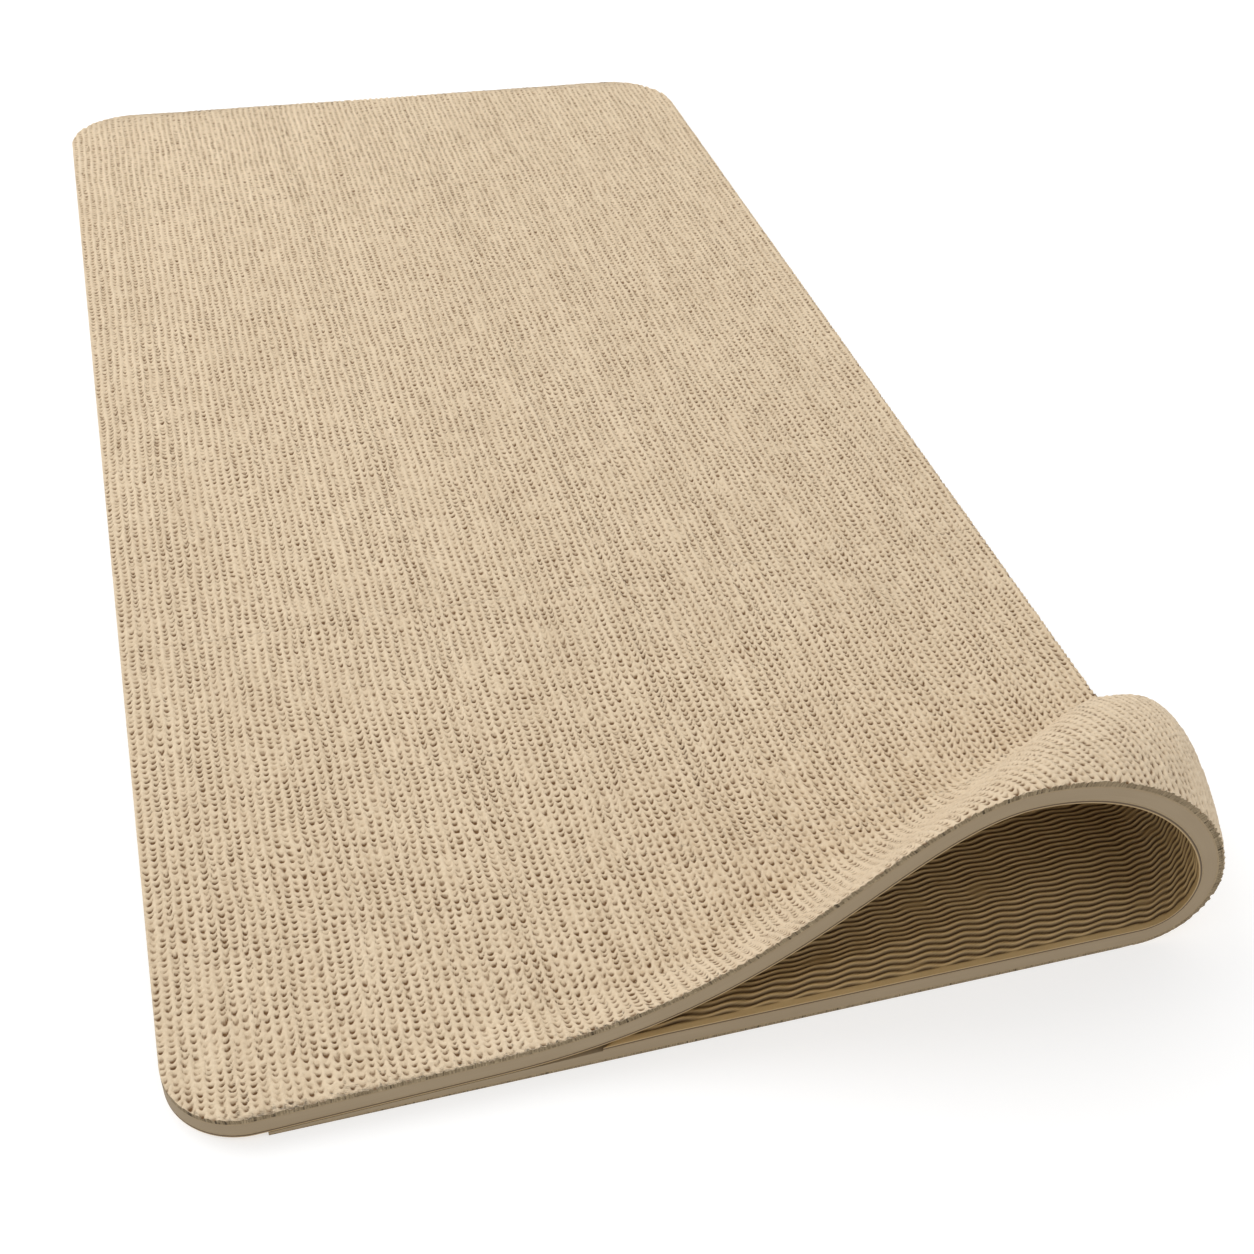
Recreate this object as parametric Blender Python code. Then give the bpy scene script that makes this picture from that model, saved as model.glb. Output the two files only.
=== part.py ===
"""Practice putting mat: a laminated sheet whose near right corner rises, curls under and runs back along the floor.

Metres, +Z up. The origin is on the floor under the middle of the mat, +Y runs along its length, away from the
curled end, and the curl is at +X, -Y. Five sheets are laid on each other: a knitted face, a bonding film, a
cushion core, a second bonding film and a grip base. Each one follows the same outer surface at its own depth.

A cross-section at a distance y from the near edge has five stretches: flat, rise, over, under and tail. The
rise climbs to the crest, over comes down to the curl's outermost point, under turns in to the floor, and the
tail runs back below the mat to the flap's free edge.
"""

import math

import bmesh
import bpy
import numpy as np

# Overall sizes
WIDTH = 0.500
LENGTH = 0.960
NEAR_CORNER_RADIUS = 0.035
FAR_CORNER_RADIUS = 0.047

# The laminate, from the top down, with the clearance between two sheets
FACE_THICKNESS = 0.0034
FILM_THICKNESS = 0.0003
CORE_THICKNESS = 0.0066
BASE_THICKNESS = 0.0017
LAYER_GAP = 0.0003

# The curl. Insets are measured from the mat's right edge, heights from the floor
CURL_DEPTH = 0.149
FOOT_INSET = 0.363
CREST_INSET = 0.132
CREST_HEIGHT = 0.128
BEND_INSET = 0.021
BEND_HEIGHT = 0.0365
CONTACT_INSET = 0.057
FOOT_PULL = 0.136
CREST_PULL_IN = 0.069
CREST_PULL_OUT = 0.61
BEND_PULL_UP = 0.35
CREST_FULLNESS = 0.6
BEND_FULLNESS = 0.2
SHOULDER_SHARE = 0.3
BEND_PULL_DOWN = 0.0225
CONTACT_PULL = 0.021
HEIGHT_FALL = 1.57
BEND_FALL = 2.3
CLOSING_SHARE = 0.4

# The flap that lies under the mat
FLAP_TIP_INSET = 0.040
FLAP_OVERLAP = 0.010
FLAP_SWEEP = 0.032
FLAP_END_START = 0.080
FLAP_END_STOP = 0.100
SKIVE_LENGTH = 0.170
PRESSED_FACE_THICKNESS = 0.0018
TIP_FACE_THICKNESS = 0.0006
TIP_CORE_THICKNESS = 0.0005
BASE_FOOT_GAP = 0.042
BASE_SETBACK = 0.004
DRAPE_LENGTH = 0.050
SQUEEZE_ROOM = 0.5
SQUEEZE_SPREAD = 0.008

# How finely the sheets are divided
COLUMNS = 30
BARE_COLUMNS = 2
SECTION_STEPS = 40
REACH_STEPS = 60
BEND_WEIGHT = 0.2
EDGE_CLOSENESS = 2.0
FLATTENING_SHARE = 0.3
CORNER_ROWS = 4
CURL_ROWS = 20
UNIT_GRID = 0.5
SHARP_ANGLE = math.radians(40)
FLAT_ANGLE = math.radians(0.005)

MAT_THICKNESS = FACE_THICKNESS + 2 * FILM_THICKNESS + CORE_THICKNESS + BASE_THICKNESS + 4 * LAYER_GAP


def ease(x):
    """0 up to x = 0, 1 from x = 1, and a smooth step between them."""
    x = np.clip(x, 0.0, 1.0)
    return x * x * (3 - 2 * x)


def curl_share(y):
    """1 at the near edge, and 0 where the curl ends and beyond."""
    return np.maximum(0.0, 1 - y / CURL_DEPTH)


def height_share(y):
    share = curl_share(y)
    return (1 - (1 - share) ** HEIGHT_FALL) * ease(share / CLOSING_SHARE)


def bend_x(y):
    """The curl's outermost point."""
    return WIDTH - BEND_INSET * curl_share(y) ** BEND_FALL


def foot_x(y):
    """Where the mat starts to rise."""
    return WIDTH - FOOT_INSET * curl_share(y)


def flap_edge_x(y):
    """The flap's free edge on the floor."""
    beside_foot = foot_x(y) + FLAP_OVERLAP
    return FLAP_TIP_INSET + (beside_foot - FLAP_TIP_INSET) * ease(y / FLAP_SWEEP)


def skived(x, y):
    """The flap's face and core thickness at x: thin at its free edge, and whole further in."""
    full = np.clip((x - flap_edge_x(y)) / SKIVE_LENGTH, 0.0, 1.0)
    face = TIP_FACE_THICKNESS + (PRESSED_FACE_THICKNESS - TIP_FACE_THICKNESS) * full
    return face, TIP_CORE_THICKNESS + (CORE_THICKNESS - TIP_CORE_THICKNESS) * full


def lift(x, y):
    """How far the flap's bare core holds the mat off the floor. Past the flap's edge the mat drapes down."""
    reach = np.linspace(0, FLAP_END_START, REACH_STEPS)
    edge_y = np.interp(x, flap_edge_x(reach), reach)
    face, core = skived(x, np.minimum(y, edge_y))
    height = face + FILM_THICKNESS + core + 3 * LAYER_GAP
    return height * (1 - ease((y - edge_y) / DRAPE_LENGTH)) * ease(x / FLAP_TIP_INSET)


def bezier(start, start_pull, end_pull, end):
    t = np.linspace(0, 1, SECTION_STEPS + 1)[1:, None]
    u = 1 - t
    return u**3 * start + 3 * u**2 * t * start_pull + 3 * u * t**2 * end_pull + t**3 * end


def flat_stretch(y, end):
    x = np.linspace(0, end, SECTION_STEPS)
    return np.stack([x, MAT_THICKNESS + lift(x, y)], 1)


def outer_section(y):
    """The outer surface's (x, z) points at y, with the number of the last point of each stretch."""
    share = curl_share(y)
    if share == 0:
        flat = flat_stretch(y, WIDTH)
        return flat, {"over": len(flat) - 1}
    tall = height_share(y)
    flat = flat_stretch(y, foot_x(y))
    foot = flat[-1]
    slope = (foot - flat[-2]) / (foot[0] - flat[-2][0])
    crest_inset = (CREST_INSET - BEND_INSET) * share
    crest = np.array([bend_x(y) - crest_inset, MAT_THICKNESS + (CREST_HEIGHT - MAT_THICKNESS) * tall])
    bend = np.array([bend_x(y), MAT_THICKNESS + (BEND_HEIGHT - MAT_THICKNESS) * tall])
    contact = np.array([bend_x(y) - (CONTACT_INSET - BEND_INSET), 0.0])
    down = math.radians(90) * min(1.0, (CURL_DEPTH - y) / (CURL_DEPTH - FLAP_END_STOP))
    fall = np.array([math.cos(down), -math.sin(down)])
    fuller = (1 - share) * min(1.0, share / SHOULDER_SHARE)
    crest_pull = CREST_PULL_OUT + CREST_FULLNESS * fuller
    bend_pull = BEND_PULL_UP + BEND_FULLNESS * fuller
    rise = bezier(
        foot,
        foot + FOOT_PULL * share * slope,
        crest - np.array([CREST_PULL_IN * share, 0]),
        crest,
    )
    over = bezier(
        crest,
        crest + np.array([crest_pull * crest_inset, 0]),
        bend - bend_pull * (crest[1] - bend[1]) * fall,
        bend,
    )
    over_end = len(flat) + len(rise) + len(over) - 1
    if y >= FLAP_END_STOP:
        return np.concatenate([flat, rise, over]), {"over": over_end}
    under = bezier(
        bend,
        bend - np.array([0, BEND_PULL_DOWN * bend[1] / BEND_HEIGHT]),
        contact + np.array([CONTACT_PULL, 0]),
        contact,
    )
    tail_x = np.linspace(contact[0], flap_edge_x(y), SECTION_STEPS + 1)[1:]
    tail = np.stack([tail_x, np.zeros(SECTION_STEPS)], 1)
    points = np.concatenate([flat, rise, over, under, tail])
    return points, {"over": over_end, "under": over_end + SECTION_STEPS}


def along(points):
    """The length of the section from its first point to each one."""
    return np.concatenate([[0], np.cumsum(np.linalg.norm(np.diff(points, axis=0), axis=1))])


def inward(points):
    """Unit vectors from the outer surface into the sheet, within the section's plane."""
    tangent = np.gradient(points, axis=0)
    tangent /= np.linalg.norm(tangent, axis=1)[:, None]
    return np.stack([tangent[:, 1], -tangent[:, 0]], 1)


def base_edge_x(y):
    """The base stops short of the foot, so that the mat comes down on the flap's bare core."""
    return foot_x(y) + BASE_FOOT_GAP * curl_share(y)


def squeeze(length, into):
    """The share of its thickness that the sheet keeps where it bends tightly, eased along the section."""
    angle = np.unwrap(np.arctan2(into[:, 1], into[:, 0]))
    bend = np.maximum(-np.gradient(angle, length), 0.0)
    kept = np.minimum(1.0, SQUEEZE_ROOM / np.maximum(bend * MAT_THICKNESS, SQUEEZE_ROOM))
    near = np.exp(-(((length[:, None] - length[None, :]) / SQUEEZE_SPREAD) ** 2))
    share = np.gradient(length)
    return np.minimum(kept, near @ (kept * share) / (near @ share)) if kept.min() < 1 else kept


def flap_length(y, floor_end):
    """How far a sheet goes on past the curl's outermost point, when it ends at floor_end(y) on the floor."""
    if y >= FLAP_END_STOP:
        return 0.0
    at = min(y, FLAP_END_START)
    points, ends = outer_section(at)
    length = along(points)
    whole = length[ends["under"]] - length[ends["over"]] + points[ends["under"]][0] - floor_end(at)
    left = 1 - ease((y - FLAP_END_START) / (FLAP_END_STOP - FLAP_END_START))
    return whole * float(left)


def corner_inset(y):
    """How far the rounded outline is set in at y from the mat's left and right edges."""
    far = LENGTH - y
    if y < NEAR_CORNER_RADIUS:
        near = NEAR_CORNER_RADIUS - y
        return NEAR_CORNER_RADIUS - math.sqrt(NEAR_CORNER_RADIUS**2 - near**2), 0.0
    if far < FAR_CORNER_RADIUS:
        inset = FAR_CORNER_RADIUS - math.sqrt(FAR_CORNER_RADIUS**2 - (FAR_CORNER_RADIUS - far) ** 2)
        return inset, inset
    return 0.0, 0.0


def rows():
    """The distances from the near edge at which the sheets are divided, closer together round the corners."""
    turn = [1 - math.cos(math.radians(90) * k / CORNER_ROWS) for k in range(CORNER_ROWS + 1)]
    near = [NEAR_CORNER_RADIUS * t for t in turn]
    curl = np.linspace(NEAR_CORNER_RADIUS, CURL_DEPTH, CURL_ROWS + 1)[1:]
    far = [LENGTH - FAR_CORNER_RADIUS * t for t in reversed(turn)]
    middle = (CURL_DEPTH + DRAPE_LENGTH, (CURL_DEPTH + LENGTH) / 2)
    return [*near, *curl, *middle, *far]


def depths(y, points, ends, kept):
    """The depth of every sheet's outer and inner side at each point of a section, at the kept share of its bends."""
    face = np.full(len(points), FACE_THICKNESS)
    core = np.full(len(points), CORE_THICKNESS)
    if "under" in ends:
        under = slice(ends["over"], ends["under"])
        tail = slice(ends["under"], None)
        face[tail], core[tail] = skived(points[tail, 0], y)
        turned = np.linspace(0, 1, ends["under"] - ends["over"])
        face[under] += (face[ends["under"]] - FACE_THICKNESS) * ease(turned)
        core[under] += (core[ends["under"]] - CORE_THICKNESS) * ease(turned)
    found = {}
    top = np.zeros(len(points))
    film = np.full(len(points), FILM_THICKNESS)
    base = np.full(len(points), BASE_THICKNESS)
    for name, thickness in (("face", face), ("face_film", film), ("core", core), ("base_film", film), ("base", base)):
        found[name] = (top, top + thickness * kept)
        top = top + thickness * kept + LAYER_GAP
    return found


def column_marks(y, length, outermost, into):
    """Where a row is divided: closer together in the bends up to the base's end, then along the bare flap."""
    start_inset, end_inset = corner_inset(y)
    edge = outermost - end_inset
    base_end = edge + flap_length(y, base_edge_x) - BASE_SETBACK
    flap_end = edge + flap_length(y, flap_edge_x)
    turn = np.abs(np.gradient(np.unwrap(np.arctan2(into[:, 1], into[:, 0]))))
    measure = length + BEND_WEIGHT * (np.cumsum(turn) - turn[0])
    marks = np.linspace(*np.interp([start_inset, base_end], length, measure), COLUMNS + 1)
    in_bends = np.interp(marks, measure, length)
    closing = (1 - np.linspace(0, 1, COLUMNS + 1)) ** EDGE_CLOSENESS
    at_edge = base_end - (base_end - start_inset) * closing
    flat_share = float(ease(1 - curl_share(y) / FLATTENING_SHARE))
    bare = np.linspace(base_end, flap_end, BARE_COLUMNS + 1)[1:]
    return np.concatenate([in_bends + (at_edge - in_bends) * flat_share, bare])


def row_points(name, y):
    """One row of a sheet's outer and inner points."""
    points, ends = outer_section(y)
    length = along(points)
    into = inward(points)
    at = column_marks(y, length, length[ends["over"]], into)
    outer_depth, inner_depth = depths(y, points, ends, squeeze(length, into))[name]
    sides = []
    for depth in (outer_depth, inner_depth):
        side = points + into * depth[:, None]
        sides.append(np.stack([np.interp(at, length, side[:, k]) for k in (0, 1)], 1))
    return sides


def sheet_mesh(name, columns):
    """A closed sheet: a grid laid on its outer side, then extruded to its inner side."""
    spacing = rows()
    shape = bmesh.new()
    bmesh.ops.create_grid(shape, x_segments=columns, y_segments=len(spacing) - 1, size=UNIT_GRID)
    bmesh.ops.triangulate(shape, faces=shape.faces[:], quad_method="FIXED")
    outer = sorted(shape.verts, key=lambda v: (round(v.co.y, 4), round(v.co.x, 4)))
    grid = [outer[k : k + columns + 1] for k in range(0, len(outer), columns + 1)]
    inner_of = {}
    for y, row in zip(spacing, grid):
        outer_side, inner_side = row_points(name, y)
        for vert, (x, z), inner in zip(row, outer_side, inner_side):
            vert.co = (x - WIDTH / 2, y - LENGTH / 2, z)
            inner_of[tuple(vert.co)] = (inner[0] - WIDTH / 2, y - LENGTH / 2, inner[1])
    extruded = bmesh.ops.extrude_face_region(shape, geom=shape.faces[:], use_keep_orig=True)
    for vert in extruded["geom"]:
        if isinstance(vert, bmesh.types.BMVert):
            vert.co = inner_of[tuple(vert.co)]
    bmesh.ops.recalc_face_normals(shape, faces=shape.faces[:])
    mesh = bpy.data.meshes.new(name)
    shape.to_mesh(mesh)
    shape.free()
    mesh.shade_smooth()
    mesh.set_sharp_from_angle(angle=SHARP_ANGLE)
    return mesh


def finish(name, color, roughness):
    material = bpy.data.materials.new(name)
    material.use_nodes = True
    shader = material.node_tree.nodes["Principled BSDF"]
    shader.inputs["Base Color"].default_value = (*color, 1.0)
    shader.inputs["Roughness"].default_value = roughness
    shader.inputs["Metallic"].default_value = 0.0
    return material


def add_sheet(collection, node, name, columns, material):
    thing = bpy.data.objects.new(node, sheet_mesh(name, columns))
    thing.data.materials.append(material)
    collection.objects.link(thing)
    flats = thing.modifiers.new("merge_flats", "DECIMATE")
    flats.decimate_type = "DISSOLVE"
    flats.angle_limit = FLAT_ANGLE
    return thing


def main():
    for thing in list(bpy.data.objects):
        bpy.data.objects.remove(thing, do_unlink=True)
    mat = bpy.data.collections.new("putting_mat")
    bpy.context.scene.collection.children.link(mat)
    film = finish("clear_adhesive", (0.55, 0.45, 0.28), 0.35)
    whole = COLUMNS + BARE_COLUMNS
    add_sheet(mat, "knit_face", "face", whole, finish("oatmeal_knit", (0.60, 0.47, 0.31), 0.9))
    add_sheet(mat, "face_bond_film", "face_film", whole, film)
    add_sheet(mat, "cushion_core", "core", whole, finish("taupe_foam", (0.33, 0.27, 0.19), 0.75))
    add_sheet(mat, "base_bond_film", "base_film", COLUMNS, film)
    add_sheet(mat, "grip_base", "base", COLUMNS, finish("golden_rubber", (0.28, 0.19, 0.09), 0.6))


main()
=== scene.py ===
"""Practice putting mat, finished: stitches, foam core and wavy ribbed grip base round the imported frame.

Metres, in the frame's own axes: +Y runs along the mat away from its curled end, and the curl is at +X, -Y.
The mat is cut across at each distance y from its near edge. Such a section is followed from its left end
by its arc length s, and a layer is a pair of depths below the section's outer line. Knit and ribs are
patterns in s and y.
"""

import functools
import math

import bpy
import numpy as np
from mathutils import Matrix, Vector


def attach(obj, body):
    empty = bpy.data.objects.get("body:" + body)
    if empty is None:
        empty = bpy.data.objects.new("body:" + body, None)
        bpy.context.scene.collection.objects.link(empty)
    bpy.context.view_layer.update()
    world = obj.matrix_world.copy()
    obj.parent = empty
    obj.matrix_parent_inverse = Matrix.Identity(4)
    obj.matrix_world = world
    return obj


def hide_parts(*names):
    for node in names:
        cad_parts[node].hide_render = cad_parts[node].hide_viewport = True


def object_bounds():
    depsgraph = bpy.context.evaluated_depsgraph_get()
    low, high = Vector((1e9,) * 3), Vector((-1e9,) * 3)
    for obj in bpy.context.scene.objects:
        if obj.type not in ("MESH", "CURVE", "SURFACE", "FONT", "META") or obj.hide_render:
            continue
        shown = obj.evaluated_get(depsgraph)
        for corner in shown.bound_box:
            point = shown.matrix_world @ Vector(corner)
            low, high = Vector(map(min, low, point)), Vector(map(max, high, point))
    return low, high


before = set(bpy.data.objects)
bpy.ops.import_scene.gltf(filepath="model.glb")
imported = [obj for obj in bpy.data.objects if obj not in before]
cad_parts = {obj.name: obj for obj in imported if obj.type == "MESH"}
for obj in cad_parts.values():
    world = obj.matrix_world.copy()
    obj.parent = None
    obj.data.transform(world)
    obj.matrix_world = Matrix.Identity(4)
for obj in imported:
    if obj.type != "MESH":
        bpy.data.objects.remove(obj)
cad_low, cad_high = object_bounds()

# Overall sizes, from the frame
WIDTH = cad_high.x - cad_low.x
LENGTH = cad_high.y - cad_low.y
NEAR_CORNER_RADIUS = 0.035
FAR_CORNER_RADIUS = 0.047

# The laminate, from the top down, with the clearance between two sheets
FACE_THICKNESS = 0.0034
FILM_THICKNESS = 0.0003
CORE_THICKNESS = 0.0066
BASE_THICKNESS = 0.0017
LAYER_GAP = 0.0003
LAYERS = ("face", "face_film", "core", "base_film", "base")
MAT_THICKNESS = FACE_THICKNESS + 2 * FILM_THICKNESS + CORE_THICKNESS + BASE_THICKNESS + 4 * LAYER_GAP

# The curl. Insets are measured from the mat's right edge, heights from the floor
CURL_DEPTH = 0.149
FOOT_INSET = 0.363
CREST_INSET = 0.132
CREST_HEIGHT = 0.128
BEND_INSET = 0.021
BEND_HEIGHT = 0.0365
CONTACT_INSET = 0.057
FOOT_PULL = 0.136
CREST_PULL_IN = 0.069
CREST_PULL_OUT = 0.61
BEND_PULL_UP = 0.35
CREST_FULLNESS = 0.6
BEND_FULLNESS = 0.2
SHOULDER_SHARE = 0.3
BEND_PULL_DOWN = 0.0225
CONTACT_PULL = 0.021
HEIGHT_FALL = 1.57
BEND_FALL = 2.3
CLOSING_SHARE = 0.4

# The flap that lies under the mat
FLAP_TIP_INSET = 0.040
FLAP_OVERLAP = 0.010
FLAP_SWEEP = 0.032
FLAP_END_START = 0.080
FLAP_END_STOP = 0.100
SKIVE_LENGTH = 0.170
PRESSED_FACE_THICKNESS = 0.0018
TIP_FACE_THICKNESS = 0.0006
TIP_CORE_THICKNESS = 0.0005
BASE_FOOT_GAP = 0.042
BASE_SETBACK = 0.004
DRAPE_LENGTH = 0.050
SQUEEZE_ROOM = 0.5
SQUEEZE_SPREAD = 0.008
SECTION_STEPS = 90
REACH_STEPS = 60

# The knit: wales run along the mat, and a loop's gap curves up at its sides
WALE = 0.0044
COURSE = 0.00375
STITCH_DEPTH = 0.0019
GROUND_SINK = 0.00015
STITCH_COLUMNS = 880
STITCH_ROW = 0.00052
FAR_STITCH_ROW = 0.00095
FINE_LENGTH = 0.24
STITCH_TILES = (7, 2)

# A gap goes down this share of a stitch, a bend is tight from this many radians a metre, and the floor
# takes this share of the stitches' height
GAP_SHARE = 0.93
TIGHT_BEND = 12.0
FLOOR_WEAR = 0.85
WEAR_LENGTH = 0.005

# The knit's unevenness. Wanders are in wales, and drifts, leans and arches in courses
WALE_WANDER = 0.30
WALE_WOBBLE = 0.24
COURSE_DRIFT = 1.6
COURSE_STEP = 0.85
COURSE_WOBBLE = 0.60
WALE_LEAN = 0.8
AREA_LEAN = 1.3
LEAST_ARCH = 2.2
ARCH_SPREAD = 2.4
LUMP_HEIGHT = 0.36
STREAKS_PER_WALE = 0.9

# The grip base: ribs run across the mat in long waves, inside a plain margin
RIB_PITCH = 0.0031
RIB_WAVE = 0.019
RIB_SWING = 0.00062
RIB_HEIGHT = 0.0010
RIB_MARGIN = 0.0028
RIB_ROW = 0.00056
FAR_RIB_ROW = 0.00078
RIB_COLUMNS = 440
FAR_RIB_COLUMNS = 216
RIB_TILES = (2, 1)
FAR_RIB_TILES = (4, 1)
RIB_CHANGE = FLAP_END_STOP + 0.004
MARGIN_BLEND = 0.0008
MARGIN_HEIGHT = 0.72

# How far above the ribs' nominal root the backing ends and the ribs' own sheet starts
BACKING_RISE = 0.00015
RIB_ROOT_RISE = 0.00013

# The share of the gap beside it that a film's glue fills
GLUE_FILL = 0.95

# The plain layers are divided finely only where they bend
SHEET_COLUMNS = 205
SHEET_ROW = 0.0015
FAR_SHEET_ROW = 0.020
END_ROW = 0.0005

# The share of a sheet's columns past the curl's outermost bend, and the least that they take up
FLAP_SHARE = {"contact": 0.08, "base": 0.34, "flap": 0.42}
LEAST_FLAP = 0.003

# Rows follow the rounded corners at these angles. Rows closer than the least are dropped, past the first
CORNER_ANGLES = (0, 3, 6, 9, 12, 15, 18, 22, 26, 30, 35, 40, 46, 52, 59, 66, 74, 82, 90)
LEAST_ROW = 0.00045
LEAST_ROW_SHARE = 0.6
FIRST_ROWS = 4

# A sheet's coarse side is divided this many times less. Its walls have their own material slot
COARSE_STEP = 6
WALL_SLOT = 2

# Where the faces lie on the sheet's flat map, from its bottom up
COARSE_BAND = (0.0, 0.05)
WALL_BAND = (0.105, 0.065)
FINE_BAND = (0.12, 1.0)
TWO_BANDS = ((0.56, 1.0), (0.12, 0.55))

# Each cloud's lump across and along the mat, and its own seed
CLOUDS = {
    "wander": (0.03, 0.05, 1),
    "wobble": (0.006, 0.008, 10),
    "drift": (0.022, 0.030, 3),
    "lean": (0.012, 0.02, 4),
    "course wobble": (0.004, 0.006, 13),
    "wale width": (WALE, 0.005, 12),
    "wale height": (WALE, 0.006, 6),
    "closed": (0.007, 0.008, 7),
    "lumps": (0.0014, 0.0015, 11),
    "blotch": (0.045, 0.06, 9),
    "rib wave": (0.09, 0.05, 20),
    "rib swing": (0.05, 0.03, 21),
    "rib shift": (0.05, 0.028, 22),
    "rib merge": (0.017, 0.007, 23),
}
SEED = 11
CLOUD_TABLE = 64
WALE_TABLE = 256
COURSE_TABLE = 512

# The stage: a self-lit floor just under the mat, a white surround and one lamp aimed at the middle
FLOOR_SIZE = 12.0
FLOOR_DROP = 0.0004
FLOOR_SHADE = 0.55
FLOOR_GLOW = 0.55
SURROUND_STRENGTH = 0.80
LAMP_SIZE = 1.8
LAMP_POWER = 19.0
LAMP_PLACE = (-0.95, 0.7, 1.75)

# The camera: how far it is turned to the right, tipped down and rolled, in degrees
CAMERA_TURN = (18.885, 41.290, 3.959)
CAMERA_PLACE = (-0.20291, -0.86998, 0.61412)
SENSOR_WIDTH = 36.0
LENS = 47.37
CLIP_START = 0.01


def ease(x):
    """0 up to x = 0, 1 from x = 1, and a smooth step between them."""
    x = np.clip(x, 0.0, 1.0)
    return x * x * (3 - 2 * x)


def curl_share(y):
    """1 at the near edge, and 0 where the curl ends and beyond."""
    return np.maximum(0.0, 1 - y / CURL_DEPTH)


def height_share(y):
    share = curl_share(y)
    return (1 - (1 - share) ** HEIGHT_FALL) * ease(share / CLOSING_SHARE)


def bend_x(y):
    """The curl's outermost point."""
    return WIDTH - BEND_INSET * curl_share(y) ** BEND_FALL


def foot_x(y):
    """Where the mat starts to rise."""
    return WIDTH - FOOT_INSET * curl_share(y)


def flap_edge_x(y):
    """The flap's free edge on the floor."""
    beside_foot = foot_x(y) + FLAP_OVERLAP
    return FLAP_TIP_INSET + (beside_foot - FLAP_TIP_INSET) * ease(y / FLAP_SWEEP)


def base_edge_x(y):
    """The base stops short of the foot, so that the mat comes down on the flap's bare core."""
    return foot_x(y) + BASE_FOOT_GAP * curl_share(y)


def skived(x, y):
    """The flap's face and core thickness: thin at its free edge, whole further in."""
    full = np.clip((x - flap_edge_x(y)) / SKIVE_LENGTH, 0.0, 1.0)
    face = TIP_FACE_THICKNESS + (PRESSED_FACE_THICKNESS - TIP_FACE_THICKNESS) * full
    return face, TIP_CORE_THICKNESS + (CORE_THICKNESS - TIP_CORE_THICKNESS) * full


def lift(x, y):
    """How far the flap holds the mat's underside off the floor. Past the flap's edge the mat drapes down."""
    reach = np.linspace(0, FLAP_END_START, REACH_STEPS)
    edge_y = np.interp(x, flap_edge_x(reach), reach)
    face, core = skived(x, np.minimum(y, edge_y))
    height = face + FILM_THICKNESS + core + 3 * LAYER_GAP
    return height * (1 - ease((y - edge_y) / DRAPE_LENGTH)) * ease(x / FLAP_TIP_INSET)


def bezier(start, start_pull, end_pull, end):
    t = np.linspace(0, 1, SECTION_STEPS + 1)[1:, None]
    u = 1 - t
    return u**3 * start + 3 * u**2 * t * start_pull + 3 * u * t**2 * end_pull + t**3 * end


def flat_stretch(y, end):
    x = np.linspace(0, end, SECTION_STEPS)
    return np.stack([x, MAT_THICKNESS + lift(x, y)], 1)


def outer_line(y):
    """The outer surface's (x, z) points at y, with the number of the last point of each stretch."""
    share = curl_share(y)
    if share == 0:
        flat = flat_stretch(y, WIDTH)
        return flat, {"over": len(flat) - 1}
    tall = height_share(y)
    flat = flat_stretch(y, foot_x(y))
    foot = flat[-1]
    slope = (foot - flat[-2]) / (foot[0] - flat[-2][0])
    crest_inset = (CREST_INSET - BEND_INSET) * share
    crest = np.array([bend_x(y) - crest_inset, MAT_THICKNESS + (CREST_HEIGHT - MAT_THICKNESS) * tall])
    bend = np.array([bend_x(y), MAT_THICKNESS + (BEND_HEIGHT - MAT_THICKNESS) * tall])
    contact = np.array([bend_x(y) - (CONTACT_INSET - BEND_INSET), 0.0])
    down = math.radians(90) * min(1.0, (CURL_DEPTH - y) / (CURL_DEPTH - FLAP_END_STOP))
    fall = np.array([math.cos(down), -math.sin(down)])
    fuller = (1 - share) * min(1.0, share / SHOULDER_SHARE)
    crest_pull = (CREST_PULL_OUT + CREST_FULLNESS * fuller) * crest_inset
    bend_pull = (BEND_PULL_UP + BEND_FULLNESS * fuller) * (crest[1] - bend[1])
    before_crest = crest - np.array([CREST_PULL_IN * share, 0])
    rise = bezier(foot, foot + FOOT_PULL * share * slope, before_crest, crest)
    over = bezier(crest, crest + np.array([crest_pull, 0]), bend - bend_pull * fall, bend)
    over_end = len(flat) + len(rise) + len(over) - 1
    if y >= FLAP_END_STOP:
        return np.concatenate([flat, rise, over]), {"over": over_end}
    below_bend = bend - np.array([0, BEND_PULL_DOWN * bend[1] / BEND_HEIGHT])
    under = bezier(bend, below_bend, contact + np.array([CONTACT_PULL, 0]), contact)
    tail_x = np.linspace(contact[0], flap_edge_x(y), SECTION_STEPS + 1)[1:]
    tail = np.stack([tail_x, np.zeros(SECTION_STEPS)], 1)
    points = np.concatenate([flat, rise, over, under, tail])
    return points, {"over": over_end, "under": over_end + SECTION_STEPS}


def along(points):
    """The length of the line from its first point to each one."""
    return np.concatenate([[0], np.cumsum(np.linalg.norm(np.diff(points, axis=0), axis=1))])


def turning(length, into):
    """How sharply the sheet bends at each point: above 0 where it turns up, below 0 over the crest."""
    return np.gradient(np.unwrap(np.arctan2(into[:, 1], into[:, 0])), length)


def squeeze(length, into):
    """The share of its thickness that the sheet keeps where it bends tightly, eased along the section."""
    bend = np.maximum(-turning(length, into), 0.0)
    kept = np.minimum(1.0, SQUEEZE_ROOM / np.maximum(bend * MAT_THICKNESS, SQUEEZE_ROOM))
    if kept.min() == 1:
        return kept
    near = np.exp(-(((length[:, None] - length[None, :]) / SQUEEZE_SPREAD) ** 2))
    share = np.gradient(length)
    return np.minimum(kept, near @ (kept * share) / (near @ share))


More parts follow.
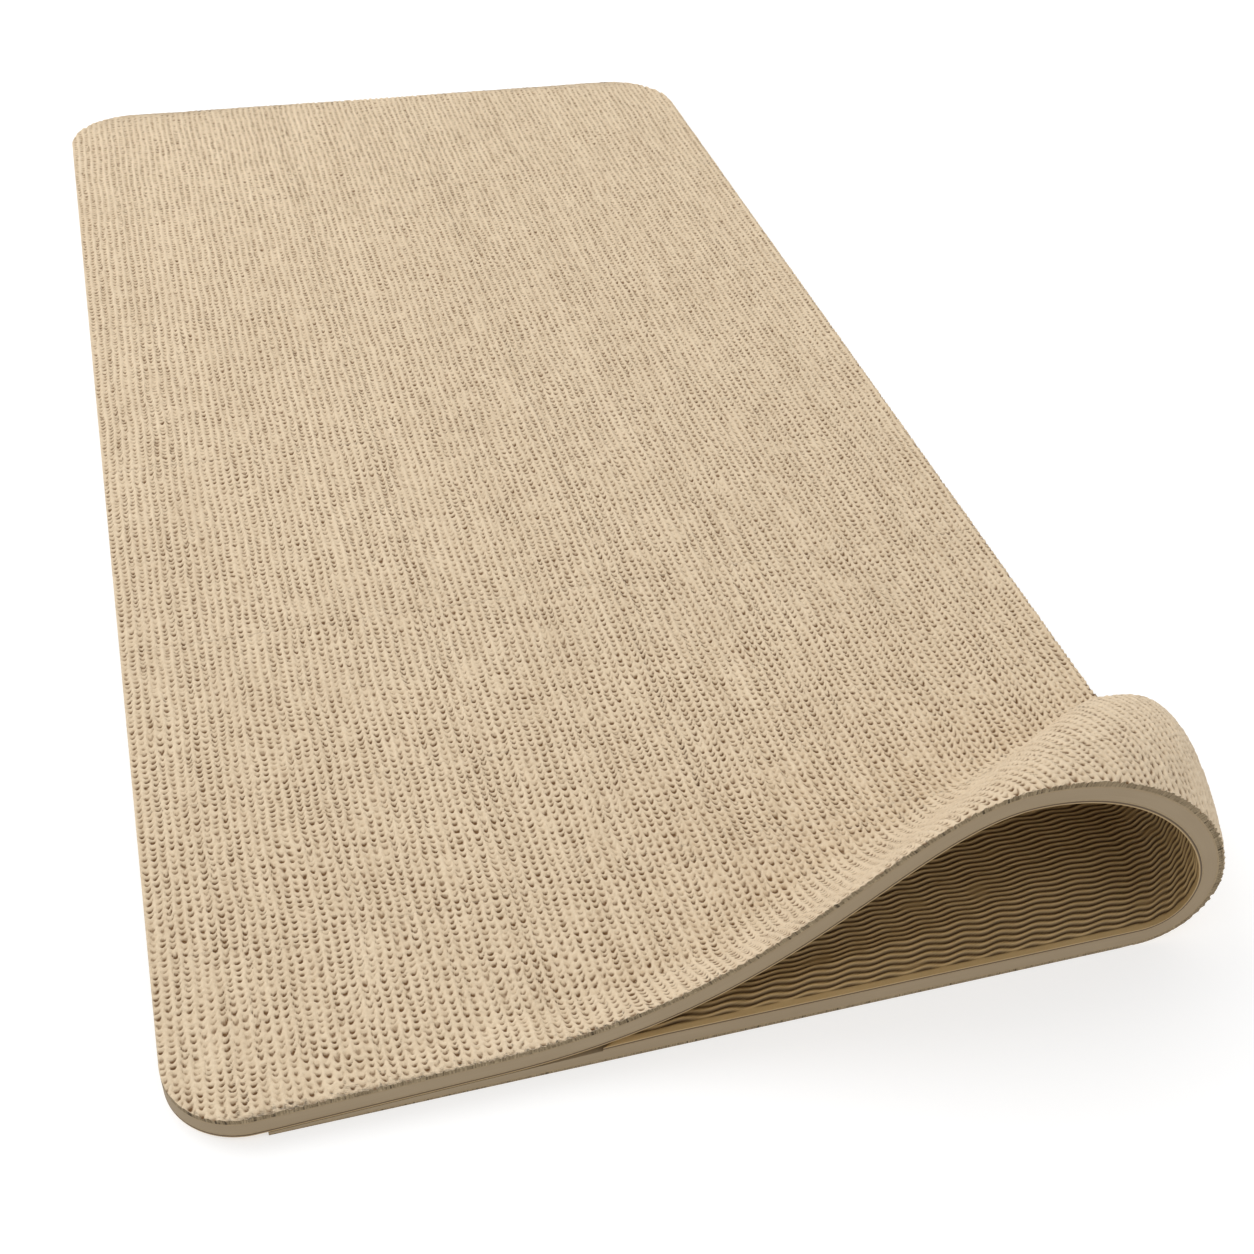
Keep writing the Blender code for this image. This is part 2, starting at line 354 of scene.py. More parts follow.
def corner_insets(y):
    """How far the rounded outline is set in at y from the mat's left and right edges."""
    far = LENGTH - y
    if y < NEAR_CORNER_RADIUS:
        near = NEAR_CORNER_RADIUS - y
        return NEAR_CORNER_RADIUS - math.sqrt(NEAR_CORNER_RADIUS**2 - near**2), 0.0
    if far < FAR_CORNER_RADIUS:
        round_in = max(0.0, FAR_CORNER_RADIUS**2 - (FAR_CORNER_RADIUS - far) ** 2)
        inset = FAR_CORNER_RADIUS - math.sqrt(round_in)
        return inset, inset
    return 0.0, 0.0


class Section:
    """The mat cut across at y."""

    def __init__(self, y):
        self.points, self.ends = outer_line(y)
        self.length = along(self.points)
        tangent = np.gradient(self.points, axis=0)
        tangent /= np.linalg.norm(tangent, axis=1)[:, None]
        self.into = np.stack([tangent[:, 1], -tangent[:, 0]], 1)
        self.bends = turning(self.length, self.into)
        self.kept = squeeze(self.length, self.into)
        self.over = self.length[self.ends["over"]]
        self.under = self.length[self.ends.get("under", self.ends["over"])]
        self.depths = self.layer_depths(y)

    def layer_depths(self, y):
        """Each layer's outer and inner depth at each point."""
        thickness = {name: np.full(len(self.points), FILM_THICKNESS) for name in LAYERS}
        thickness["face"][:] = FACE_THICKNESS
        thickness["core"][:] = CORE_THICKNESS
        thickness["base"][:] = BASE_THICKNESS
        if "under" in self.ends:
            over, under = self.ends["over"], self.ends["under"]
            turned = ease(np.linspace(0, 1, under - over))
            for name, in_flap in zip(("face", "core"), skived(self.points[under:, 0], y)):
                thickness[name][under:] = in_flap
                thickness[name][over:under] += (in_flap[0] - thickness[name][over:under]) * turned
        found = {}
        top = np.zeros(len(self.points))
        for name in LAYERS:
            found[name] = (top, top + thickness[name] * self.kept)
            top = found[name][1] + LAYER_GAP
        return found

    def read(self, values, s):
        return np.interp(s, self.length, values)

    def place(self, s, depth):
        """The (x, z) points at the lengths s, that deep in the sheet."""
        line = np.stack([self.read(self.points[:, k], s) for k in (0, 1)], 1)
        into = np.stack([self.read(self.into[:, k], s) for k in (0, 1)], 1)
        into /= np.linalg.norm(into, axis=1)[:, None]
        return line + into * np.asarray(depth)[:, None]


@functools.lru_cache(maxsize=None)
def section_at(y):
    return Section(y)


def section(y):
    """The section at y. Past the drape they are all alike."""
    return section_at(float(min(y, CURL_DEPTH + DRAPE_LENGTH)))


def flap_length(y, floor_end):
    """How far a sheet goes on past the curl's outermost point, when it ends at floor_end(y) on the floor."""
    if y >= FLAP_END_STOP:
        return 0.0
    at = min(y, FLAP_END_START)
    cut = section(at)
    contact = cut.points[cut.ends["under"]][0]
    left = 1 - ease((y - FLAP_END_START) / (FLAP_END_STOP - FLAP_END_START))
    return (cut.under - cut.over + contact - floor_end(at)) * float(left)


def span(y, reach):
    """The lengths at which a sheet starts and ends at y. Its reach is edge, contact, base or flap."""
    start, end_inset = corner_insets(y)
    edge = section(y).over - end_inset
    if reach == "edge":
        return start, edge
    if reach == "base":
        return start, edge + flap_length(y, base_edge_x) - BASE_SETBACK
    flap = edge + flap_length(y, flap_edge_x)
    return start, flap if reach == "flap" else max(edge, min(section(y).under, flap))


def spread(y, reach, columns, share):
    """The lengths at which a sheet is divided at y: that share of them lies past the outermost bend."""
    start, end = span(y, reach)
    past = round(columns * share)
    turn = min(section(y).over - corner_insets(y)[1], end - LEAST_FLAP) if past else end
    before = np.linspace(start, turn, columns - past)
    return np.concatenate([before, np.linspace(turn, end, past + 1)[1:]])


def row_marks(step, far_step, change=CURL_DEPTH + DRAPE_LENGTH, at_end=None):
    """Distances from the near edge: a step apart up to the change, then far_step, closer round corners."""
    arc = 1 - np.cos(np.radians(CORNER_ANGLES))
    near, far = NEAR_CORNER_RADIUS * arc, LENGTH - FAR_CORNER_RADIUS * arc
    even = [np.arange(0, change, step), np.arange(change, LENGTH, far_step)]
    if at_end:
        even.append(np.arange(FLAP_END_START, FLAP_END_STOP + at_end, at_end))
    marks = np.unique(np.concatenate([near, *even, far]).round(6))
    wanted = [marks[0]]
    for mark in marks[1:]:
        least = min(LEAST_ROW_SHARE * (step if mark < change else far_step), LEAST_ROW)
        if mark - wanted[-1] >= least or mark in near[:FIRST_ROWS].round(6):
            wanted.append(mark)
    wanted[-1] = LENGTH
    return np.array(wanted)


def random_table(shape, seed):
    return np.random.default_rng(SEED + seed).random(shape)


def noise_at(a, b, seed):
    """Smooth noise from 0 to 1 over two coordinates, one lump a unit."""
    table = random_table((CLOUD_TABLE, CLOUD_TABLE), seed)
    i, j = np.floor(a).astype(int), np.floor(b).astype(int)
    p, q = ease(a - i), ease(b - j)
    corner = [[table[(i + m) % CLOUD_TABLE, (j + n) % CLOUD_TABLE] for n in (0, 1)] for m in (0, 1)]
    near, far = (c[0] + (c[1] - c[0]) * q for c in corner)
    return near + (far - near) * p


def cloud(name, s, y):
    across, down, seed = CLOUDS[name]
    return noise_at(s / across, y / down, seed)


def knit_pattern(s, y, crease):
    """The stitches' height, 0 in a gap and 1 on a rib of the knit, and their lightness, from 0 to 1."""
    wander = WALE_WANDER * (cloud("wander", s, y) - 0.5)
    wobble = WALE_WOBBLE * (cloud("wobble", s, y) - 0.5)
    u = s / WALE + wander + wobble
    wale = np.floor(u).astype(int)
    across = u - wale
    centre = across - 0.5
    own = random_table((WALE_TABLE, 4), 2)[wale % WALE_TABLE]
    drift = COURSE_DRIFT * cloud("drift", s, y) + COURSE_STEP * own[..., 0]
    lean = WALE_LEAN * (own[..., 1] - 0.5) + AREA_LEAN * (cloud("lean", s, y) - 0.5)
    arch = (LEAST_ARCH + ARCH_SPREAD * own[..., 3]) * centre**2
    v = y / COURSE + drift - arch - lean * centre + COURSE_WOBBLE * (cloud("course wobble", s, y) - 0.5)
    course = np.floor(v).astype(int)
    up = v - course
    cell = random_table((WALE_TABLE, COURSE_TABLE, 4), 5)[wale % WALE_TABLE, course % COURSE_TABLE]
    rib_width = 0.13 + 0.08 * own[..., 2] + 0.07 * cloud("wale width", s, y)
    rib = np.exp(-((np.minimum(across, 1 - across) / rib_width) ** 2))
    rib = rib * (0.70 + 0.30 * cloud("wale height", s, y))
    gap = np.exp(-(((up - 0.5 - 0.22 * (cell[..., 0] - 0.5)) / (0.115 + 0.085 * cell[..., 1])) ** 2))
    one_sided = 1 + 2.4 * (cell[..., 3] - 0.5) * centre
    closed = ease((cloud("closed", s, y) - 0.50) / 0.30)
    open_share = (0.45 + 0.55 * cell[..., 2]) * one_sided * (1 - 0.55 * closed) * (1 - 0.15 * crease)
    pad = 0.46 + 0.16 * np.cos(2 * math.pi * up) + 0.20 * cell[..., 1]
    lumps = LUMP_HEIGHT * (cloud("lumps", s, y) - 0.5)
    height = rib + (1 - rib) * pad * (1 - open_share * gap) + lumps
    streak = noise_at(s / WALE * STREAKS_PER_WALE, y / 0.035, 8)
    tone = 0.35 * streak + 0.25 * cloud("blotch", s, y) + 0.40 * cell[..., 2]
    return np.clip(height, 0.0, 1.0), np.clip(tone, 0.0, 1.0)


def rib_pattern(s, y, from_edge):
    """The ribs' height from 0 to 1. They end at the margin, and here and there they run into each other."""
    wave = np.sin(2 * math.pi * (s / RIB_WAVE + 0.8 * cloud("rib wave", s, y)))
    swing = RIB_SWING * (0.7 + 0.6 * cloud("rib swing", s, y))
    shift = 0.7 * cloud("rib shift", s, y)
    phase = (y + swing * wave) / RIB_PITCH + shift
    rib = (0.5 + 0.5 * np.cos(2 * math.pi * phase)) ** 1.5
    merge = ease((cloud("rib merge", s, y) - 0.76) / 0.2)
    rib = rib * (1 - 0.6 * merge) + 0.3 * merge
    inside = ease((from_edge - RIB_MARGIN) / MARGIN_BLEND)
    return MARGIN_HEIGHT * (1 - inside) + rib * inside


class Slab:
    """A closed piece between two grids of points: one side is fine, and the other may be coarse."""

    def __init__(self, name, outer, inner, fields, coarse=None):
        self.rows, self.columns = outer.shape[:2]
        self.loops, self.starts, self.places, self.kinds = [], [], [], []
        self.count = 0
        ids = np.arange(2 * self.rows * self.columns).reshape(2, self.rows, self.columns)
        u, v = np.meshgrid(np.linspace(0, 1, self.columns), np.linspace(0, 1, self.rows))
        for side, flip in ((0, False), (1, True)):
            plain = coarse == ("outer", "inner")[side]
            low, high = COARSE_BAND if plain else FINE_BAND if coarse else TWO_BANDS[side]
            uv = np.stack([u, low + (high - low) * v], -1).reshape(-1, 2)
            self.add(self.cells(COARSE_STEP if plain else 1), ids[side].ravel(), uv, flip, side)
        self.add_walls(ids)
        self.make(name, np.concatenate([outer.reshape(-1, 3), inner.reshape(-1, 3)]), fields)

    def add(self, cells, ids, uv, flip, kind):
        """Faces from cells, which hold numbers into ids and uv."""
        if isinstance(cells, np.ndarray):
            flat = cells[:, ::-1].ravel() if flip else cells.ravel()
            sizes = np.full(len(cells), cells.shape[1])
        else:
            flat = np.concatenate([c[::-1] if flip else c for c in cells])
            sizes = np.array([len(c) for c in cells])
        self.starts.append(self.count + np.concatenate([[0], np.cumsum(sizes)[:-1]]))
        self.count += len(flat)
        self.loops.append(ids[flat])
        self.places.append(uv[flat])
        self.kinds.append(np.full(len(sizes), kind))

    def cells(self, step):
        """The grid's cells, a step wide. A wide cell on the border takes in every point of the border."""
        at = np.arange(self.rows * self.columns).reshape(self.rows, self.columns)
        if step == 1:
            return np.stack([at[:-1, :-1], at[:-1, 1:], at[1:, 1:], at[1:, :-1]], -1).reshape(-1, 4)
        rows = [*range(0, self.rows - step // 2 - 1, step), self.rows - 1]
        columns = [*range(0, self.columns - step // 2 - 1, step), self.columns - 1]
        found = []
        for r0, r1 in zip(rows, rows[1:]):
            for c0, c1 in zip(columns, columns[1:]):
                near = at[r0, c0:c1] if r0 == 0 else at[r0, c0 : c0 + 1]
                right = at[r0:r1, c1] if c1 == self.columns - 1 else at[r0 : r0 + 1, c1]
                far = at[r1, c0 + 1 : c1 + 1][::-1] if r1 == self.rows - 1 else at[r1, c1 : c1 + 1]
                left = at[r0 + 1 : r1 + 1, c0][::-1] if c0 == 0 else at[r1 : r1 + 1, c0]
                found.append(np.concatenate([near, right, far, left]))
        return found

    def add_walls(self, ids):
        border = [
            (ids[:, 0, :], False),
            (ids[:, :, -1], False),
            (ids[:, -1, :], True),
            (ids[:, :, 0], True),
        ]
        for k, ((top, low), turned) in enumerate(border):
            if turned:
                top, low = top[::-1], low[::-1]
            n = len(top)
            along_u = k / 4 + np.linspace(0, 1, n) / 4
            uv = np.concatenate([np.stack([along_u, np.full(n, v)], 1) for v in WALL_BAND])
            at = np.arange(n - 1)
            cells = np.stack([at + n, at + n + 1, at + 1, at], -1)
            self.add(cells, np.concatenate([top, low]), uv, False, WALL_SLOT)

    def make(self, name, points, fields):
        loops = np.concatenate(self.loops)
        used, loops = np.unique(loops, return_inverse=True)
        mesh = bpy.data.meshes.new(name)
        mesh.vertices.add(len(used))
        mesh.vertices.foreach_set("co", points[used].astype(np.float32).ravel())
        mesh.loops.add(len(loops))
        mesh.loops.foreach_set("vertex_index", loops.astype(np.int32))
        kinds = np.concatenate(self.kinds)
        mesh.polygons.add(len(kinds))
        mesh.polygons.foreach_set("loop_start", np.concatenate(self.starts).astype(np.int32))
        mesh.polygons.foreach_set("material_index", kinds.astype(np.int32))
        mesh.update(calc_edges=True)
        mesh.polygons.foreach_set("use_smooth", kinds < WALL_SLOT)
        uv = mesh.uv_layers.new(name="OFBake")
        uv.uv.foreach_set("vector", np.concatenate(self.places).astype(np.float32).ravel())
        for field, values in fields.items():
            kind, key = ("FLOAT", "value") if values.ndim == 1 else ("FLOAT_VECTOR", "vector")
            attribute = mesh.attributes.new(field, kind, "POINT")
            attribute.data.foreach_set(key, values[used].astype(np.float32).ravel())
        self.piece = bpy.data.objects.new(name, mesh)
        bpy.context.scene.collection.objects.link(self.piece)


def lay_sheet(
    name, rows, columns, reach, outer_depth, inner_depth, pattern=None, tiles=(1, 1), coarse=None
):
    """A sheet between two depths. A pattern gives both depths again, with the relief and the tone."""
    outer = np.zeros((len(rows), columns, 3))
    inner = np.zeros_like(outer)
    fields = {key: np.zeros((2, len(rows), columns)) for key in ("relief", "tone")}
    cloth = np.zeros((2, len(rows), columns, 3))
    share = FLAP_SHARE[reach] if rows[0] < FLAP_END_STOP else 0
    for k, y in enumerate(rows):
        cut = section(y)
        s = spread(y, reach, columns, share)
        depths = [outer_depth(cut, s, y), inner_depth(cut, s, y)]
        if pattern:
            depths, relief, tone = pattern(cut, s, y, depths)
            fields["relief"][:, k] = relief
            fields["tone"][:, k] = tone
        for side, (grid, depth) in enumerate(zip((outer, inner), depths)):
            at = cut.place(s, depth)
            grid[k] = np.stack([at[:, 0] - WIDTH / 2, np.full(columns, y - LENGTH / 2), at[:, 1]], 1)
            cloth[side, k] = np.stack([s, np.full(columns, y), depth], 1)
    fields["cloth"] = cloth
    pieces = []
    row_cuts = np.linspace(0, len(rows) - 1, tiles[0] + 1).round().astype(int)
    column_cuts = np.linspace(0, columns - 1, tiles[1] + 1).round().astype(int)
    for r0, r1 in zip(row_cuts, row_cuts[1:]):
        for c0, c1 in zip(column_cuts, column_cuts[1:]):
            part = (slice(r0, r1 + 1), slice(c0, c1 + 1))
            here = {key: values[(slice(None), *part)] for key, values in fields.items()}
            here = {key: v.reshape(-1, *v.shape[3:]) for key, v in here.items()}
            label = name if tiles == (1, 1) else f"{name}_{len(pieces) + 1}"
            pieces.append(Slab(label, outer[part], inner[part], here, coarse).piece)
    return pieces


class Field:
    """A value that varies over a surface: a shader socket that takes part in arithmetic."""

    def __init__(self, tree, socket=None):
        self.tree = tree
        self.socket = socket

    def node(self, kind, settings, sockets, output=0):
        """An output of a new node. Its settings are made first, then its sockets are set or linked."""
        made = self.tree.nodes.new(kind)
        for key, value in settings.items():
            if key == "stops":
                self.set_stops(made.color_ramp, value)
            else:
                setattr(made, key, value)
        for key, value in sockets.items():
            if isinstance(value, Field):
                self.tree.links.new(value.socket, made.inputs[key])
            else:
                made.inputs[key].default_value = value
        return Field(self.tree, made.outputs[output])

    def set_stops(self, ramp, stops):
        while len(ramp.elements) < len(stops):
            ramp.elements.new(0.5)
        for element, (place, color) in zip(ramp.elements, stops):
            element.position = place
            element.color = (*color, 1.0)

    def math(self, operation, *terms):
        return self.node("ShaderNodeMath", {"operation": operation}, dict(enumerate(terms)))

    def __add__(self, other):
        return self.math("ADD", self, other)

    def __sub__(self, other):
        return self.math("SUBTRACT", self, other)

    def __rsub__(self, other):
        return self.math("SUBTRACT", other, self)

    def __mul__(self, other):
        return self.math("MULTIPLY", self, other)

    __radd__ = __add__
    __rmul__ = __mul__

    def clipped(self):
        return self.math("MAXIMUM", self.math("MINIMUM", self, 1.0), 0.0)

    def sharper(self, times):
        """This value with its spread about a half multiplied, and clipped."""
        return ((self - 0.5) * times + 0.5).clipped()

    def scaled(self, *scale):
        """This vector with each part multiplied."""
        return self.node("ShaderNodeVectorMath", {"operation": "MULTIPLY"}, {0: self, 1: scale})

    def blend(self, first, second):
        """A colour from first where this is 0 to second where it is 1."""
        settings = {"data_type": "RGBA", "clamp_factor": True}
        first, second = ((*c, 1.0) if isinstance(c, tuple) else c for c in (first, second))
        return self.node("ShaderNodeMix", settings, {0: self, 6: first, 7: second}, 2)

    def noise(self, detail=2.0):
        """Noise from 0 to 1 at this vector."""
        sockets = {"Vector": self, "Scale": 1.0, "Detail": detail, "Roughness": 0.6}
        return self.node("ShaderNodeTexNoise", {}, sockets)

    def bump(self, strength, distance):
        sockets = {"Height": self, "Strength": strength, "Distance": distance}
        return self.node("ShaderNodeBump", {}, sockets)


def from_sight(red, green, blue):
    """A colour as a screen shows it, from 0 to 255, as the linear colour that the shader takes."""
    return tuple(((c / 255 + 0.055) / 1.055) ** 2.4 for c in (red, green, blue))


def finish(name, roughness, sheen=0.0, specular=0.5):
    """A material with its shader, and a field to build on."""
    material = bpy.data.materials.new(name)
    material.use_nodes = True
    shader = material.node_tree.nodes["Principled BSDF"]
    shader.inputs["Roughness"].default_value = roughness
    shader.inputs["Sheen Weight"].default_value = sheen
    shader.inputs["Sheen Roughness"].default_value = 0.6
    shader.inputs["Specular IOR Level"].default_value = specular
    return material, shader, Field(material.node_tree)


def drive(shader, socket, field):
    field.tree.links.new(field.socket, shader.inputs[socket])


def read(field, name, output=2):
    """A mesh attribute: output 2 is a number, and output 1 a vector."""
    return field.node("ShaderNodeAttribute", {"attribute_name": name}, {}, output)


def knitted_yarn():
    material, shader, start = finish("knitted_yarn", 0.92, sheen=0.12, specular=0.2)
    relief, tone, cloth = read(start, "relief"), read(start, "tone"), read(start, "cloth", 1)
    fibres = cloth.scaled(2300, 1500, 2300).noise().sharper(2.0)
    flecks_and_glints = cloth.scaled(700, 520, 700).noise().sharper(2.2)
    slub = cloth.scaled(260, 22, 200).noise().sharper(1.8)
    # Painted light: raised yarn, where the relief is high, is painted lighter.
    shade = 0.40 * tone + 0.35 * slub + 0.45 * relief - 0.12
    yarn = shade.blend(from_sight(184, 157, 122), from_sight(236, 215, 184))
    # Painted highlights: fibre flecks lighten the yarn towards a near white. The same flecks also roughen
    # the bump.
    yarn = (flecks_and_glints * 0.36 + fibres * 0.22).blend(yarn, from_sight(236, 218, 190))
    # Painted shade: where the relief is low, in the gaps between stitches, the yarn is painted dark.
    shaded = (relief * 2.3 - 0.56 + 0.40 * flecks_and_glints).clipped()
    drive(shader, "Base Color", shaded.blend(from_sight(112, 80, 46), yarn))
    drive(shader, "Normal", (fibres * 0.6 + flecks_and_glints * 0.8).bump(0.6, 0.0005))
    return material


def raw_edge():
    material, shader, start = finish("raw_knit_edge", 0.95, specular=0.2)
    cloth = read(start, "cloth", 1)
    ends = cloth.scaled(1500, 1500, 120).noise().sharper(3.0)
    patches = cloth.scaled(260, 260, 90).noise().sharper(2.5)
    nicks = (cloth.scaled(520, 520, 40).noise(1.0) * 9.0 - 5.2).clipped()
    color = (0.6 * ends + 0.4 * patches).blend(from_sight(98, 82, 58), from_sight(182, 163, 132))
    # Painted shade: the nicks, small dents in the cut edge, are painted dark.
    drive(shader, "Base Color", (0.85 * nicks).blend(color, from_sight(58, 46, 30)))
    drive(shader, "Normal", (ends - nicks).bump(0.9, 0.0007))
    return material


def pressed_knit():
    """The face where it lies on the floor: the same yarn, pressed flat and rubbed."""
    material, shader, start = finish("pressed_knit", 0.9, sheen=0.1, specular=0.2)
    cloth = read(start, "cloth", 1)
    fibres = cloth.scaled(1500, 900, 1500).noise()
    wales = cloth.scaled(1 / WALE, 30, 0).noise(1.0)
    color = (0.5 * fibres + 0.6 * wales).blend(from_sight(128, 106, 78), from_sight(196, 172, 138))
    drive(shader, "Base Color", color)
    drive(shader, "Normal", (fibres + wales).bump(0.5, 0.0005))
    return material


def foam():
    material, shader, start = finish("closed_cell_foam", 0.72, specular=0.3)
    cloth = read(start, "cloth", 1)
    cells = cloth.scaled(2600, 2600, 2600).noise()
    drawn = cloth.scaled(28, 28, 900).noise(3.0)
    cloudy = cloth.scaled(18, 18, 60).noise()
    color = (0.45 * drawn + 0.55 * cloudy).blend(from_sight(141, 123, 97), from_sight(165, 147, 120))
    drive(shader, "Base Color", (cells * 0.25).blend(color, from_sight(114, 97, 72)))
    drive(shader, "Normal", (cells * 0.5 + drawn).bump(0.12, 0.0003))
    return material


def glue():
    material, shader, start = finish("glue_web", 0.55, specular=0.4)
    cloth = read(start, "cloth", 1)
    web = cloth.scaled(500, 500, 2000).noise(3.0)
    drive(shader, "Base Color", web.blend(from_sight(118, 98, 68), from_sight(168, 146, 110)))
    drive(shader, "Normal", web.bump(0.3, 0.0002))
    return material


def moulded_rubber():
    material, shader, start = finish("moulded_rubber", 0.5, specular=0.35)
    relief, cloth = read(start, "relief"), read(start, "cloth", 1)
    grain = cloth.scaled(900, 900, 900).noise(3.0)
    patches = cloth.scaled(35, 60, 35).noise()
    # Painted light and shade: the rib crests are painted light, and low relief, in the troughs, is painted
    # dark.
    crest = (0.6 * patches + 0.4 * grain).blend(from_sight(184, 155, 107), from_sight(216, 187, 137))
    shaded = (relief * 1.15 + 0.05).clipped()
    drive(shader, "Base Color", shaded.blend(from_sight(62, 41, 15), crest))
    drive(shader, "Roughness", 0.42 + 0.25 * grain)
    drive(shader, "Normal", grain.bump(0.15, 0.0003))
    return material


def stitch_share(cut, s):
    """How much of the stitches' height is left: all of it on top, and little on the floor."""
    left = 1 - FLOOR_WEAR * ease((s - cut.over) / max(cut.under - cut.over, 0.001))
    return left * (1 - ease((s - cut.under) / WEAR_LENGTH)) if "under" in cut.ends else left


def stitch_floor(cut, s, y):
    return STITCH_DEPTH * stitch_share(cut, s) * cut.read(cut.kept, s)


def ground_top(cut, s, y):
    depth = stitch_floor(cut, s, y)
    return depth + GROUND_SINK * (depth > 0)


def nothing(cut, s, y):
    return np.zeros(len(s))


def depth_of(layer, side, more=0.0):
    """A function that reads how deep a layer's outer side, 0, or inner side, 1, lies."""
    return lambda cut, s, y: cut.read(cut.depths[layer][side], s) + more


def stitched(cut, s, y, depths):
    crease = ease(cut.read(cut.bends, s) / TIGHT_BEND)
    height, tone = knit_pattern(s, np.full(len(s), y), crease)
    depths[0] = depths[0] + (1 - height) * GAP_SHARE * depths[1]
    # Painted light: the tone is raised where the sheet bends up tightly, in the crease.
    return depths, np.stack([height, height * 0.5]), np.clip(tone + 0.1 * crease, 0, 1)


def ribbed(cut, s, y, depths):
    start, end = span(y, "base")
    along_y = np.full(len(s), y)
    from_edge = np.minimum.reduce([s - start, end - s, along_y, LENGTH - along_y])
    rib = rib_pattern(s, along_y, from_edge)
    depths[1] = depths[1] - (1 - rib) * RIB_HEIGHT
    return depths, np.stack([rib * 0, rib]), 0.5


def cut_area(rows, reach):
    """The flat area of a sheet's cut, and its greatest width."""
    widths = np.array([np.ptp(span(y, reach)) for y in rows])
    area = ((widths[1:] + widths[:-1]) / 2 * np.diff(rows)).sum()
    return float(area), float(widths.max())


def add_materials(pieces, outer, inner, wall):
    for piece in pieces:
        for material in (outer, inner, wall):
            piece.data.materials.append(material)


def ride_with(pieces):
    for piece in pieces:
        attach(piece, "root")


def make_mat():
    fine = row_marks(STITCH_ROW, FAR_STITCH_ROW, FINE_LENGTH)
    medium = row_marks(SHEET_ROW, FAR_SHEET_ROW, at_end=END_ROW)
    rib_rows = row_marks(RIB_ROW, FAR_RIB_ROW)
    in_curl = rib_rows[rib_rows <= RIB_CHANGE]
    beyond = rib_rows[rib_rows >= in_curl[-1]]
    yarn, edge, pressed = knitted_yarn(), raw_edge(), pressed_knit()
    foam_finish, glue_finish, rubber = foam(), glue(), moulded_rubber()

    def plain_sheet(name, reach, outer_depth, inner_depth, *finishes):
        sheet = lay_sheet(name, medium, SHEET_COLUMNS, reach, outer_depth, inner_depth)
        add_materials(sheet, *finishes)
        return sheet

    sides = nothing, stitch_floor
    stitches = lay_sheet(
        "knit_stitches", fine, STITCH_COLUMNS, "contact", *sides, stitched, STITCH_TILES, "inner"
    )
    add_materials(stitches, yarn, yarn, edge)
    ground = plain_sheet("knit_ground", "flap", ground_top, depth_of("face", 1), pressed, pressed, edge)
    films = []
    fill = LAYER_GAP * GLUE_FILL
    for name, layer, reach in (("face_glue", "face_film", "flap"), ("base_glue", "base_film", "base")):
        sides = depth_of(layer, 0, -fill), depth_of(layer, 1, fill)
        films += plain_sheet(name, reach, *sides, glue_finish, glue_finish, glue_finish)
    sides = depth_of("core", 0), depth_of("core", 1)
    core = plain_sheet("foam_core", "flap", *sides, foam_finish, foam_finish, foam_finish)
    root = BASE_THICKNESS - RIB_HEIGHT
    sides = depth_of("base", 0), depth_of("base", 0, root - BACKING_RISE)
    backing = plain_sheet("grip_backing", "base", *sides, rubber, rubber, rubber)
    sides = depth_of("base", 0, root - RIB_ROOT_RISE), depth_of("base", 1)
    ribs = lay_sheet("grip_ribs_curl", in_curl, RIB_COLUMNS, "base", *sides, ribbed, RIB_TILES)
    ribs += lay_sheet("grip_ribs", beyond, FAR_RIB_COLUMNS, "base", *sides, ribbed, FAR_RIB_TILES, "outer")
    add_materials(ribs, rubber, rubber, rubber)

    ride_with([*stitches, *ground])
    ride_with(films)
    ride_with(core)
    ride_with([*backing, *ribs])
    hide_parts("knit_face")
    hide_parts("face_bond_film")
    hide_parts("cushion_core")
    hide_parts("base_bond_film")
    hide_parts("grip_base")

    whole, whole_width = cut_area(medium, "flap")
    base, base_width = cut_area(medium, "base")


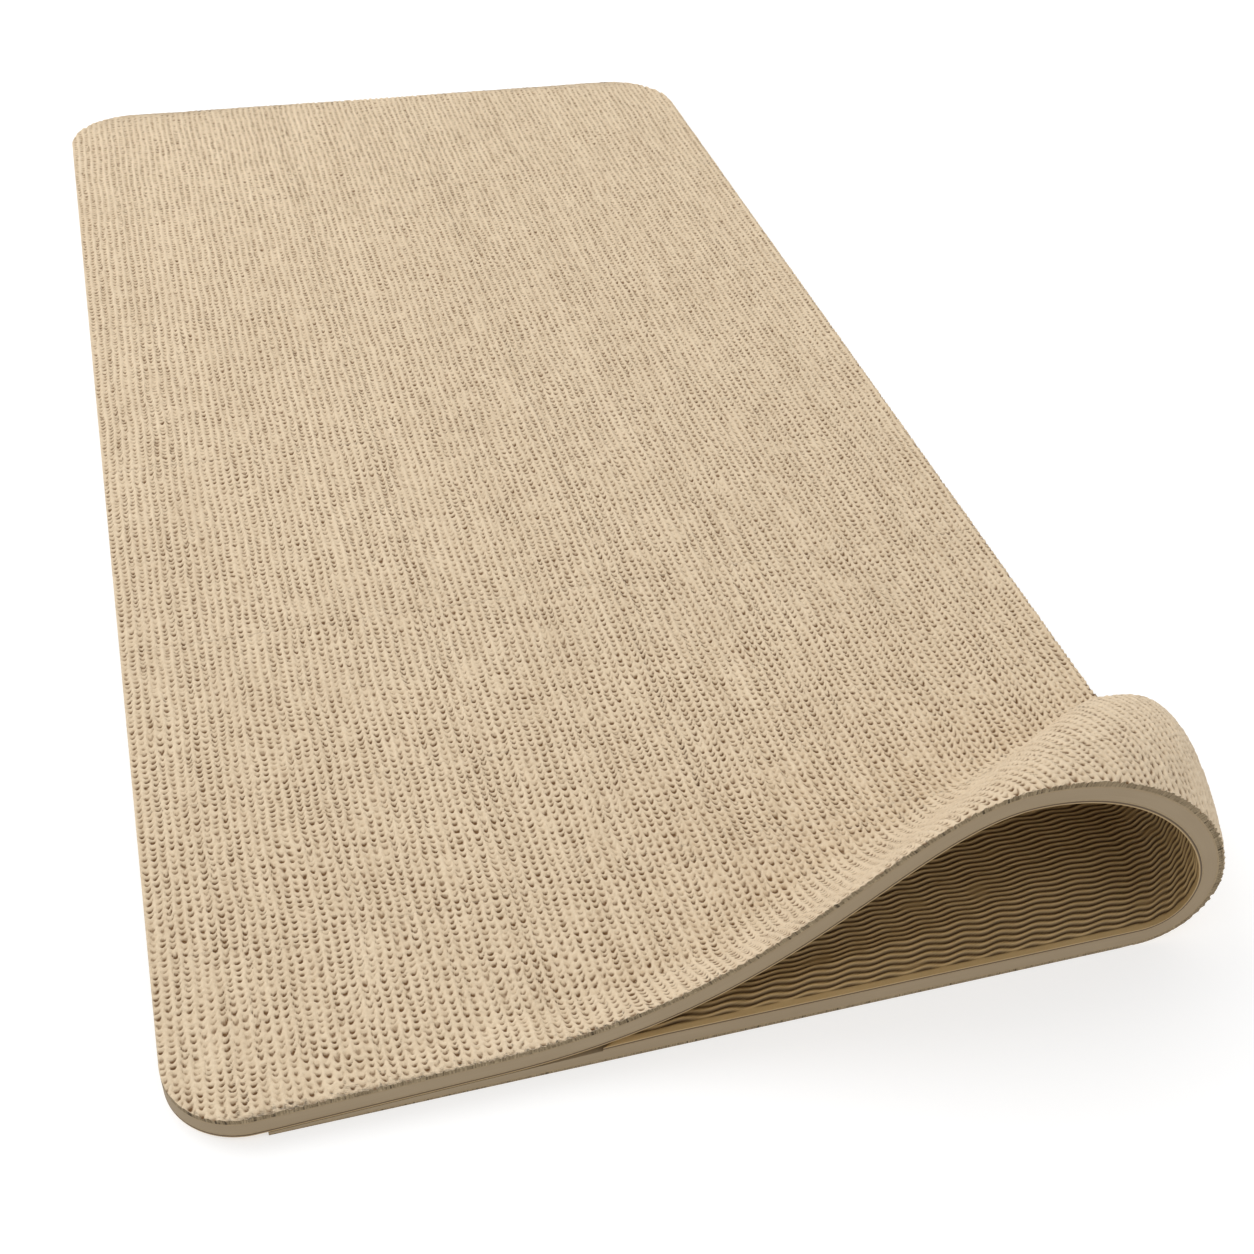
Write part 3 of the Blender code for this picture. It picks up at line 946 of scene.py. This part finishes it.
def make_stage():
    """A pale floor, a soft white surround and one large lamp above and behind."""
    bpy.ops.mesh.primitive_plane_add(size=FLOOR_SIZE, location=(0, 0, -FLOOR_DROP))
    floor = bpy.context.object
    floor.name = "floor"
    material, shader, _ = finish("pale_floor", 0.9, specular=0.1)
    shader.inputs["Base Color"].default_value = (FLOOR_SHADE, FLOOR_SHADE, FLOOR_SHADE, 1.0)
    shader.inputs["Emission Color"].default_value = (1.0, 1.0, 1.0, 1.0)
    shader.inputs["Emission Strength"].default_value = FLOOR_GLOW
    floor.data.materials.append(material)
    world = bpy.data.worlds.new("studio")
    world.use_nodes = True
    surround = world.node_tree.nodes["Background"]
    surround.inputs["Color"].default_value = (1.0, 1.0, 1.0, 1.0)
    surround.inputs["Strength"].default_value = SURROUND_STRENGTH
    bpy.context.scene.world = world
    lamp = bpy.data.lights.new("soft_box", "AREA")
    lamp.shape = "DISK"
    lamp.size = LAMP_SIZE
    lamp.energy = LAMP_POWER
    holder = bpy.data.objects.new("soft_box", lamp)
    holder.location = LAMP_PLACE
    aim = -holder.location.normalized()
    holder.rotation_mode = "QUATERNION"
    holder.rotation_quaternion = aim.to_track_quat("-Z", "Y")
    bpy.context.scene.collection.objects.link(holder)
    bpy.context.scene.view_settings.view_transform = "Standard"


def make_camera():
    """Near the left front corner, looking down along the mat, turned a little about its own axis."""
    azimuth, fall, roll = (math.radians(angle) for angle in CAMERA_TURN)
    forward = math.cos(fall)
    ahead = np.array([math.sin(azimuth) * forward, math.cos(azimuth) * forward, -math.sin(fall)])
    level = np.array([math.cos(azimuth), -math.sin(azimuth), 0.0])
    upright = np.cross(level, ahead)
    right = level * math.cos(roll) + upright * math.sin(roll)
    up = upright * math.cos(roll) - level * math.sin(roll)
    data = bpy.data.cameras.new("camera")
    data.sensor_width = SENSOR_WIDTH
    data.lens = LENS
    data.clip_start = CLIP_START
    camera = bpy.data.objects.new("camera", data)
    turn = np.eye(4)
    turn[:3, :3] = np.stack([right, up, -ahead], 1)
    turn[:3, 3] = CAMERA_PLACE
    camera.matrix_world = Matrix(turn)
    bpy.context.scene.collection.objects.link(camera)
    bpy.context.scene.camera = camera


make_stage()
make_camera()
make_mat()
